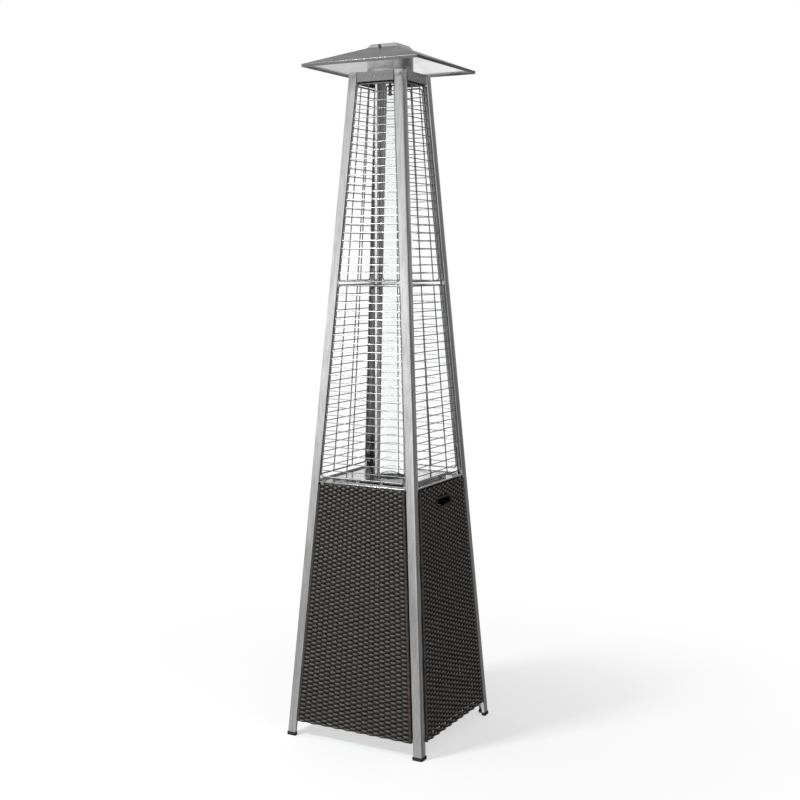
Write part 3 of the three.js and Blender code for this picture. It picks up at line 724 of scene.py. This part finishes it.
def stakes(z0, z1, gap=None):
    g = Geo()
    for j in range(NS):
        runs = [(z0 + 1.5, z1 - 1.5)]
        if gap:
            um = (2 * (j + 0.5) / NS - 1) * (half_panel((gap[2] + gap[3]) / 2) - 8.2)
            if gap[0] < um < gap[1]:
                runs = [(z0 + 1.5, gap[2])] + ([(gap[3], z1 - 1.5)] if gap[3] < z1 - 3 else [])
        for a, b in runs:
            zs = np.linspace(a, b, max(2, int((b - a) / 60)))
            path = [face((2 * (j + 0.5) / NS - 1) * (half_panel(z) - 8.2), -2.15, z) for z in zs]
            tube(g, path, 1.55, 8)
    return g


def wrapped(geo, pts, r=3.9, ridge=0.75, pitch=5.4, n=12):
    """A bar with a strand wound round it: a helical ridge along a polyline."""
    P = np.asarray(pts, float)
    seg = np.linalg.norm(np.diff(P, axis=0), axis=1)
    s = np.concatenate([[0], np.cumsum(seg)])
    m = int(s[-1] / pitch * 6) + 1
    t = np.linspace(0, s[-1], m)
    Q = np.stack([np.interp(t, s, P[:, c]) for c in range(3)], 1)
    T = np.gradient(Q, axis=0)
    T /= np.linalg.norm(T, axis=1)[:, None]
    up = np.array((0, 1.0, 0))
    Nn = up - (T @ up)[:, None] * T
    Nn /= np.linalg.norm(Nn, axis=1)[:, None]
    B = np.cross(T, Nn)
    a = np.arange(n) * 2 * PI / n
    ph = 2 * PI * t[:, None] / pitch - a[None]
    rr = r + ridge * np.sqrt(np.abs(np.sin(ph / 2)))
    rings = Q[:, None] + rr[..., None] * (np.cos(a)[None, :, None] * Nn[:, None] + np.sin(a)[None, :, None] * B[:, None])
    return loft(geo, rings)


def edge_path(side, z0, z1, inset=4.4, v=-0.7):
    return [face(side * (half_panel(z) - inset), v, z) for z in np.linspace(z0, z1, 12)]


def panel_frame(z0, z1, notch=False):
    g = Geo()
    w = 12.0
    quad = lambda a, b, ins: [(-half_panel(a) + ins, a), (half_panel(a) - ins, a), (half_panel(b) - ins, b), (-half_panel(b) + ins, b)]
    v0, v1 = 1.0, 8.0
    pl = lambda a, b, c: face(a, c, b)
    holes = [quad(z0 + w, 445, w), quad(455, (771 if notch else z1 - w), w)]
    outer = quad(z0, z1, 1.0)
    if notch:
        outer = [(-half_panel(z0) + 1, z0), (half_panel(z0) - 1, z0), (half_panel(z1) - 1, z1), (63, z1), (63, 783),
                 (-63, 783), (-63, z1), (-half_panel(z1) + 1, z1)]
    plate(g, outer, holes, v0, v1, pl)
    return g


def slot_cut(z):
    dz = abs(z - SLOT_Z)
    if dz >= 17.4:
        return None
    half = 110 / 2 - 37 / 2 + math.sqrt(max(0, 18.5 ** 2 - dz ** 2)) - 1.5
    return (-half, half)


def notch_cut(z):
    return (-66.5, 66.5) if z > 779.5 else None


for pname, node, turn, z1, cut, gap, body, ph in (
        ("front", "panel_front", 0.0, PANEL_Z1, None, None, "base", 0),
        ("rear", "panel_rear", PI, PANEL_Z1, None, None, "base", 1),
        ("left", "panel_left", -PI / 2, PANEL_Z1, notch_cut, (-66, 66, 780, 900), "base", 0),
        ("door", "door_panel", PI / 2, DOOR_Z1, slot_cut, (-52, 52, 776, 809), "door", 1)):
    piece(f"weave_{pname}", weave(PANEL_Z0, z1 + 3.4, cut, ph), WEAVE, body, node, turn=turn, angle=60)
    piece(f"stakes_{pname}", stakes(PANEL_Z0, z1, gap), WEAVE, body, turn=turn)
    g = Geo()
    for side in (-1, 1):
        wrapped(g, edge_path(side, PANEL_Z0 + 0.5, z1 - 0.5))
    if pname == "left":
        for side in (-1, 1):
            wrapped(g, [face(side * 66.5, -0.7, z) for z in np.linspace(780, z1 - 0.5, 5)], 2.9, 0.6)
        wrapped(g, [face(u, -0.7, 779.6) for u in np.linspace(-68, 68, 8)], 2.5, 0.6)
    piece(f"binding_{pname}", g, BIND, body, turn=turn, angle=70)
    piece(f"panel_frame_{pname}", panel_frame(PANEL_Z0, z1, pname == "left"), FRAME_PAINT, body, turn=turn,
          bevel=(0.8, 2, 40))

# hand grip in the door
g = Geo()
rings = []
for w, h, v in ((111.6, 37.6, -5.3), (112, 38, -5.7), (111.6, 37.6, -6.3), (110.4, 36.4, -6.75), (108.5, 34.5, -6.95), (100.5, 27.5, -6.95),
                (98.6, 25.6, -6.7), (97.4, 24.4, -6.1), (97, 24, -5.2), (97, 24, 1.2), (97.6, 24.6, 1.5), (103.0, 31.0, 1.5), (103.4, 31.4, 1.2),
                (103.4, 31.4, -5.3)):
    rings.append([face(x, v, SLOT_Z + z) for x, z in stadium(w, h, 16)])
loft(g, rings, wrap=True)
piece("hand_grip", g, BLACK, "door", "door_hand_grip", turn=PI / 2, angle=50)

# hinge pins with domed ends
for pname, s in (("front", -1), ("rear", 1)):
    g = Geo()
    lathe(g, fillet([(0, -11), (2.0, -11), (2.0, 11), (0, 11)], [0, 0.6, 0.6, 0], 3, closed=False), 24)
    z, y = HINGE_Z, -S(HINGE_Z) + HINGE_V
    piece(f"hinge_pin_{pname}", g, SATIN, "door", f"door_hinge_pin_{pname}", matrix=basis((s * HINGE_U, y, z), (1, 0, 0)), turn=PI / 2)
    cad(f"door_hinge_bracket_{pname}", SATIN, bevel=(0.4, 2, 50))
cad("door_magnet_catch", DARK, bevel=(0.8, 2, 40))
cad("gas_bottle_tray", GALV, bevel=(0.5, 2, 40))


def plus(half, n):
    return [(half, -n), (half, n), (n, n), (n, half), (-n, half), (-n, n), (-half, n), (-half, -n), (-n, -n), (-n, -half), (n, -half), (n, -n)]


# deck: a shallow tray of sheet with a rolled rim
g = Geo()
dn = 192.5 - POST_W - 0.6
plate(g, plus(188.1, dn - 4.4), [arcp(0, 0, 68.6, 0, 2 * PI, 72)[:-1]], 848.35, 849.8)
plate(g, plus(188.4, dn - 4.1), [plus(187.0, dn - 5.5)], 848.6, 856.2)
plate(g, plus(191.0, dn - 1.5), [plus(187.4, dn - 5.1)], 854.9, 856.1)
tube(g, [(x, y, 855.4) for x, y in fillet(plus(191.2, dn - 1.3), 2.4, 4)], 1.25, 12, closed=True)
lathe(g, fillet([(68.0, 848.3), (69.4, 848.3), (69.4, 850.6), (68.0, 850.6)], 0.5, 2), 72)
piece("deck_tray", g, TRAY, "base", "deck_plate", angle=50)
cad("burner_cover", SHADED_INSIDE_POLISHED, bevel=(0.5, 2, 50))

# ------------------------------------------------------------------ burner and pilot
g = Geo()
lathe(g, fillet([(13, 835), (61.2, 835), (61.2, 858.6), (72, 858.6), (72, 860.2), (60, 860.2), (60, 836.2), (13, 836.2)], 0.5, 2), 72)
piece("pan_burner", g, DARK, "base", "burner_pan")
g = Geo()


def teeth(r, z, a):
    if r < 28 or z < 847 or z > 856.5:
        return np.full(len(a), float(r))
    return r * (1 - 0.045 * (np.cos(a * 36) > 0.1))


lathe(g, [(0, 824), (11.4, 824), (12, 824.8), (12, 844), (14, 845.6), (34, 847.4), (36, 848.4), (36, 853.6), (34.5, 855.2), (29.5, 857.2), (20, 858.6), (0, 859)],
      216, mod=teeth)
piece("head_burner", g, IRON, "base", "burner_head", angle=28)
g = Geo()
lathe(g, fillet([(0, 765), (15, 765), (15, 771), (13.4, 773), (13.4, 800), (15, 802), (15, 830), (12.4, 830), (12.4, 768), (0, 768)],
                [0, 0.8, 0.8, 0.8, 0.8, 0.8, 0.5, 0.5, 0.5, 0], 2, closed=False), 48)
piece("tube_mixer", g, BRASS, "base", "mixer_tube")
g = Geo()
lathe(g, [(0, 836.6), (3, 836.6), (3, 855.6), (3.6, 856.4), (5, 858), (5, 867.4), (4.6, 868), (3.6, 868), (3.6, 860), (0, 860)], 32)
piece("pilot_jet", g, BRASS, "base", "pilot_burner", matrix=Matrix.Translation((-41, 0, 0)))
g = Geo()
lathe(g, [(0, 836.6), (3.2, 836.6), (3.2, 847.6), (2.8, 848.2), (1.8, 849), (1.8, 870.6), (1.4, 872), (0.7, 872.8), (0, 873)], 24)
piece("thermocouple_probe", g, SATIN, "base", "thermocouple",
      matrix=Matrix.Translation((-41 * math.cos(0.42), 41 * math.sin(0.42), 0)))

# ------------------------------------------------------------------ flame tube
g = Geo()
lathe(g, fillet([(50.6, 862.3), (58, 862.3), (58, 864), (53, 868), (50.6, 868)], 0.6, 3), 96)
piece("foot_ring", g, DARK, "base", "tube_foot_ring")
g = Geo()
lathe(g, fillet([(47, 862.4), (50, 862.4), (50, 2163), (47, 2163)], 1.2, 4), 128)
piece("glass_tube", g, GLASS, "base", ("flame_tube_lower", "flame_tube_upper"), angle=60)
g = Geo()
lathe(g, fillet([(50.8, 2147), (57, 2147), (57, 2175.2), (55.5, 2175.2), (55.5, 2149.5), (50.8, 2149.5)], 0.6, 3), 96)
piece("top_collar", g, DARK, "base", "tube_top_collar")

# ------------------------------------------------------------------ wire guards
def clear(z):
    return S(z) - POST_W - 0.5


def guard(bottom, top, first, seed):
    rng = np.random.default_rng(seed)
    g = Geo()
    vf, vr, vb = 6.1, 4.75, 8.0
    rw = 2.5
    corners = [(-(clear(bottom) - 2.6), bottom), (clear(bottom) - 2.6, bottom), (clear(top) - 2.6, top), (-(clear(top) - 2.6), top)]
    loop = fillet(corners, 11.0, 6)
    tube(g, [face(u, vf, z) for u, z in loop], rw, 12, closed=True)
    for i in range(23):
        z = first + 26.1 * i
        e = clear(z) - 2.6
        jig = rng.normal(0, 0.35, 2)
        us = np.linspace(-e, e, 9)
        bow = rng.normal(0, 0.25)
        tube(g, [face(u, vr + rng.normal(0, 0.05), z + jig[0] + (jig[1] - jig[0]) * (u / e + 1) / 2 + bow * (1 - (u / e) ** 2)) for u in us], 1.5, 8)
    for s in (-1, 1):
        path = [face(s * 0.38 * clear(z) + rng.normal(0, 0.15), vb, z) for z in np.linspace(bottom, top, 14)]
        tube(g, path, 2.0, 10)
    return g


for i, (tname, turn) in enumerate(TURNS.items()):
    piece(f"guard_lower_{tname}", guard(872, 1497.5, 893.3, 20 + i), WIRE, "base", f"lower_guard_{tname}", turn=turn)
    piece(f"guard_upper_{tname}", guard(1511, 2139.5, 1537.3, 30 + i), WIRE, "base", f"upper_guard_{tname}", turn=turn)

# ------------------------------------------------------------------ top plate, drum, reflector, cap
cad("top_plate", SATIN, bevel=(0.7, 2, 50))
g = Geo()
for tname, turn in TURNS.items():
    z = 2161.0
    part = screw_head(3.8, 2.4)
    m = basis((0, -(98.2 + LEAN * (2177 - z)), z), (0, -1, LEAN))
    h = Geo()
    put(h, part, m)
    g.add(rotz(np.concatenate(h.v), turn), h.f)
piece("top_plate_screws", g, POLISHED, "base")

g = Geo()
lathe(g, fillet([(66, 2177.4), (76, 2177.4), (76, 2242), (74.8, 2242), (74.8, 2178.6), (66, 2178.6)], [0.3, 1.6, 0.5, 0.5, 0.8, 0.3], 4), 144)
piece("drum", g, ROLLED, "base", "flame_drum", angle=50)
g = Geo()
lathe(g, fillet([(0, 2106), (4, 2106), (4, 2108), (7, 2108), (7, 2114), (5, 2114), (5, 2120), (7, 2120), (7, 2126), (5, 2126), (5, 2132),
                 (7, 2132), (7, 2138), (4, 2138), (4, 2168), (8, 2168), (8, 2175.2), (4, 2175.2), (4, 2177.3), (9, 2177.3), (9, 2255.3), (4, 2255.3),
                 (4, 2266), (0, 2266)], 0.5, 2, closed=False), 32)
piece("centre_stud", g, DARK, "base", "reflector_stud")

g = Geo()
H, T2 = 209.7, 1.2
slope = (H - 57) / (2257 - 2199.0)
outer = fillet([(H - 1.5, 2190), (H, 2199), (57, 2257), (4.4, 2257)], [0, 1.0, 3.0, 0], 4, closed=False)
inner = fillet([(4.4, 2255.8), (56.6, 2255.8), (H - 1.5, 2198.1), (H - 2.7, 2191)], [0, 2.0, 1.2, 0], 4, closed=False)
hem = [(H - 2.8, 2190.3), (H - 2.5, 2189.95), (H - 2.1, 2189.8), (H - 1.7, 2189.9)]
prof = outer + inner + hem
rings = []
for h, z in prof:
    rad = 4.5 if h > 150 else max(0.6, min(4.5, 2.4 + h * 0.01))
    if h < 10:
        ang = [math.atan2(y, x) for x, y in rsq(57, 3, 5)]
        rings.append([(h * math.cos(a), h * math.sin(a), z) for a in ang])
    else:
        rings.append([(x, y, z) for x, y in rsq(h, min(rad, h * 0.2), 5)])
loft(g, rings, wrap=True)
n = len(rings[0])
# outer faces take the darker copy (painted shade), the underside keeps the bright reflector steel
g.m = [0 if i < (len(outer) - 1) * n else 1 for i in range(len(g.f))]
piece("reflector_shade", g, [REFLECTOR_OUTSIDE_PAINTED_SHADE, REFLECT], "base", "reflector", angle=24)
cad("reflector_nut", SATIN, bevel=(0.4, 2, 40))

g = Geo()
prof = fillet([(56, 2257.4), (45.6, 2270), (0.001, 2270)], [0, 1.6, 0], 4, closed=False)[:-1]
rings = [[(x, y, z) for x, y in rsq(h, 2.6, 4)] for h, z in prof]
rings += [[(x, y, 2270) for x, y in rsq(h, min(2.6, h * 0.3), 4)] for h in (30.0, 8.0)]
rings += [[(x, y, 2268.8) for x, y in rsq(h, min(2.6, h * 0.3), 4)] for h in (8.0, 30.0)]
rings += [[(x, y, 2268.8) for x, y in rsq(43.9, 1.6, 4)], [(x, y, 2257.4) for x, y in rsq(54.4, 1.6, 4)]]
R = np.array(rings)
n = R.shape[1]
idx = []
for i in range(len(rings)):
    k = (i + 1) % len(rings)
    if i == len(prof) + 1:
        continue
    idx += [(i * n + j, i * n + (j + 1) % n, k * n + (j + 1) % n, k * n + j) for j in range(n)]
i = len(prof) + 1
idx += [tuple(i * n + j for j in range(n)), tuple((i + 1) * n + j for j in reversed(range(n)))]
g.add(R.reshape(-1, 3), idx)
piece("cap_top", g, POLISHED, "base", "reflector_cap", angle=30)
g = Geo()
lathe(g, fillet([(0, -2.2), (2.2, -2.2), (2.2, 6), (4.6, 6), (4.6, 8.2), (3.4, 9.2), (2.0, 9.4), (1.8, 7.6), (0, 7.4)], 0.3, 2, closed=False), 24)
zc = 2263.0
piece("screw_cap", g, DARK, "base", matrix=basis((-9, -(56 - 10.4 * (zc - 2257.4) / 12.6) + 5.0, zc), (0, -1, 0)))

# ------------------------------------------------------------------ controls
n_ = Vector((-math.cos(ALPHA), 0, math.sin(ALPHA)))
w_ = Vector((math.sin(ALPHA), 0, math.cos(ALPHA)))
u_ = w_.cross(n_)
CTRL = Matrix((u_, w_, n_)).transposed().to_4x4()
CTRL.translation = Vector((-S(CONTROL_Z), 0, CONTROL_Z))
cad("control_box", SATIN, bevel=(0.8, 3, 40))
cad("gas_valve_body", BRASS, bevel=(0.6, 2, 40))
cad("gas_valve_rotor", BRASS)
g = Geo()
for sx in (-1, 1):
    for sy in (-1, 1):
        h = Geo()
        put(h, screw_head(2.8, 1.8), Matrix.Translation((sx * 53, sy * 23, 5.7)))
        g.add(np.concatenate(h.v), h.f)
piece("control_screws", g, SATIN, "base", matrix=CTRL)
# ring of position dots round the knob
g = Geo()
for a, r in ((90, 1.1), (45, 0.9), (0, 1.1), (-45, 0.9), (-90, 1.4)):
    t = math.radians(a)
    h = Geo()
    lathe(h, [(0, 0), (r, 0), (r, 0.2), (r * 0.8, 0.3), (0, 0.3)], 16)
    g.add(np.concatenate(h.v) + np.array((KNOB_U + 25.5 * math.cos(t), 25.5 * math.sin(t), 5.7)), h.f)
piece("dial_dots", g, BLACK, "base", matrix=CTRL)
g = Geo()
D = [(x, min(y, 2.1)) for x, y in arcp(0, 0, 3.2, 0, 2 * PI, 32)[:-1]]
loft(g, [[(x + KNOB_U, y, z) for x, y in D] for z in (-14.5, 21)])
piece("valve_stem", g, SATIN, "knob", "gas_valve_stem", matrix=CTRL)
g = Geo()


def flutes(r, z, a):
    if r < 15.5 or z < 15.5 or z > 31:
        return np.full(len(a), float(r))
    return r * (1 - 0.035 * (0.5 + 0.5 * np.cos(a * 24)) ** 2)


h = Geo()
lathe(h, fillet([(0, 10.5), (21, 10.5), (21, 14), (18.5, 16), (17, 30), (15.5, 31.5), (0, 31.5)], [0, 0.6, 0.8, 0.8, 0.8, 0.8, 0], 2, closed=False), 144, mod=flutes)
g.add(np.concatenate(h.v) + np.array((KNOB_U, 0, 0)), h.f)
h = Geo()
rbox(h, (-2.4, -15.2, 30.5), (2.4, 15.2, 34.5), 1.0, 3)
g.add(np.concatenate(h.v) + np.array((KNOB_U, 0, 0)), h.f)
piece("knob_control", g, BLACK, "knob", "control_knob", matrix=CTRL, angle=40)
g = Geo()
rbox(g, (KNOB_U - 0.6, 6.5, 34.3), (KNOB_U + 0.6, 14.2, 34.75), 0.2, 1)
piece("knob_pointer", g, MARK, "knob", matrix=CTRL)
g = Geo()
lathe(g, fillet([(0, -34), (7, -34), (7, -28), (8.8, -28), (8.8, 6.1), (11.5, 6.1), (11.5, 9), (6.4, 9), (6.4, -9), (0, -9)],
                [0, 0.6, 0.4, 0.6, 0.3, 0.5, 0.9, 0.5, 0.2, 0], 3, closed=False), 64)
piece("igniter_housing", g, BLACK, "base", "igniter_body", matrix=CTRL @ Matrix.Translation((IGNITER_U, 0, 0)))
g = Geo()
lathe(g, fillet([(0, -2), (6, -2), (6, 14), (5, 15.2), (0, 15.0)], [0, 0.4, 1.2, 0.8, 0], 4, closed=False), 48)
piece("igniter_push", g, RUBBER, "igniter_button_body",
      "igniter_button", matrix=CTRL @ Matrix.Translation((IGNITER_U, 0, 0)))
cad("gas_pipe", BRASS)

# ------------------------------------------------------------------ camera, floor, world, lights
AZ, PITCH = math.radians(28.83), math.radians(6.28)
cam_data = bpy.data.cameras.new("camera")
cam = bpy.data.objects.new("camera", cam_data)
bpy.context.scene.collection.objects.link(cam)
cam.location = (2.0716, -3.7640, 1.588)
look = Vector((-math.sin(AZ) * math.cos(PITCH), math.cos(AZ) * math.cos(PITCH), -math.sin(PITCH)))
cam.rotation_mode = "QUATERNION"
cam.rotation_quaternion = look.to_track_quat("-Z", "Y")
cam_data.sensor_width = 36.0
cam_data.lens = 58.34
cam_data.shift_x = 0.0125
cam_data.clip_start, cam_data.clip_end = 0.05, 200
bpy.context.scene.camera = cam

floor_me = bpy.data.meshes.new("floor")
nf = 96
fv = [(0, 0, 0)] + [(60 * math.cos(a), 60 * math.sin(a), 0) for a in np.arange(nf) * 2 * PI / nf]
floor_me.from_pydata(fv, [], [(0, 1 + j, 1 + (j + 1) % nf) for j in range(nf)])
floor = bpy.data.objects.new("floor", floor_me)
bpy.context.scene.collection.objects.link(floor)
floor.visible_glossy = False
m, nt, bs, out = new_mat("pale_floor")
k = N(nt)
bs.inputs["Base Color"].default_value = (0.90, 0.90, 0.90, 1)
bs.inputs["Roughness"].default_value = 0.9
bs.inputs["Specular IOR Level"].default_value = 0.1
em = k.node("ShaderNodeEmission")
em.inputs["Color"].default_value = (1, 1, 1, 1)
em.inputs["Strength"].default_value = 1.0
ln = k.node("ShaderNodeVectorMath", operation="LENGTH")
k.link(k.node("ShaderNodeTexCoord").outputs["Object"], ln.inputs[0])
mr = k.node("ShaderNodeMapRange", interpolation_type="SMOOTHSTEP")
mr.inputs["From Min"].default_value = 0.35
mr.inputs["From Max"].default_value = 1.9
mr.inputs["To Min"].default_value = 0.55
mr.inputs["To Max"].default_value = 1.0
k.link(ln.outputs["Value"], mr.inputs["Value"])
mx = k.node("ShaderNodeMixShader")
k.link(mr.outputs["Result"], mx.inputs[0])
k.link(bs.outputs["BSDF"], mx.inputs[1])
k.link(em.outputs[0], mx.inputs[2])
k.link(mx.outputs[0], out.inputs["Surface"])
floor_me.materials.append(m)

world = bpy.data.worlds.new("studio")
bpy.context.scene.world = world
world.use_nodes = True
nt = world.node_tree
nt.nodes.clear()
k = N(nt)
wout = k.node("ShaderNodeOutputWorld")
tc = k.node("ShaderNodeTexCoord")
sep = k.node("ShaderNodeSeparateXYZ")
k.link(tc.outputs["Generated"], sep.inputs[0])
# angle round the object, 0.5 towards the front camera side, rising to the camera's right
cx_, cy_ = math.sin(AZ), -math.cos(AZ)
along = k.math("ADD", k.math("MULTIPLY", sep.outputs["X"], cx_), k.math("MULTIPLY", sep.outputs["Y"], cy_))
side = k.math("ADD", k.math("MULTIPLY", sep.outputs["X"], -cy_), k.math("MULTIPLY", sep.outputs["Y"], cx_))
ang = k.math("ARCTAN2", side, along)
fac = k.math("ADD", k.math("MULTIPLY", ang, 1 / (2 * PI)), 0.5)


def at(deg):
    return deg / 360 + 0.5


def grey(v, warm=0.0):
    return (v * (1 + warm), v, v * (1 - warm * 1.4))


def by_height(*stops):
    """Grey by elevation in degrees: (elevation, value) pairs."""
    return k.ramp(el01, [((e + 90) / 180, grey(v)) for e, v in stops])


el01 = k.math("ADD", k.math("MULTIPLY", k.math("ARCSINE", sep.outputs["Z"]), 1 / PI), 0.5)
# plain soft studio: one smooth wash, a lighter half on the left and a darker half on the right
WASH = by_height((-90, 0.8), (-45, 1.2), (-8, 0.45), (4, 1.3), (18, 0.45), (45, 0.65), (90, 0.9))
SHADE = by_height((-90, 0.25), (-10, 0.18), (5, 0.18), (45, 0.35), (90, 0.7))
env = k.mix(k.ramp(fac, [(at(a), grey(v)) for a, v in ((10, 0), (70, 1), (120, 1), (175, 0))]), WASH, SHADE)
bg1 = k.node("ShaderNodeBackground")
k.link(env, bg1.inputs["Color"])
bg1.inputs["Strength"].default_value = 1.0
bg2 = k.node("ShaderNodeBackground")
bg2.inputs["Color"].default_value = (1, 1, 1, 1)
bg2.inputs["Strength"].default_value = 1.0
lp = k.node("ShaderNodeLightPath")
mx = k.node("ShaderNodeMixShader")
k.link(lp.outputs["Is Camera Ray"], mx.inputs[0])
k.link(bg1.outputs[0], mx.inputs[1])
k.link(bg2.outputs[0], mx.inputs[2])
k.link(mx.outputs[0], wout.inputs["Surface"])


def area(name, loc, target, size, energy, size_y=None):
    d = bpy.data.lights.new(name, "AREA")
    d.energy, d.size = energy, size
    if size_y:
        d.shape, d.size_y = "RECTANGLE", size_y
    o = bpy.data.objects.new(name, d)
    bpy.context.scene.collection.objects.link(o)
    o.location = loc
    o.rotation_mode = "QUATERNION"
    o.rotation_quaternion = (Vector(target) - Vector(loc)).to_track_quat("-Z", "Y")
    return o


area("key_left", (-1.9, -3.2, 4.4), (0, 0, 0.7), 0.9, 210)
area("fill_right", (3.4, -1.2, 4.2), (0, 0, 0.7), 0.8, 12)

vs = bpy.context.scene.view_settings
vs.view_transform = "Standard"
vs.look = "None"
vs.exposure = 0.0
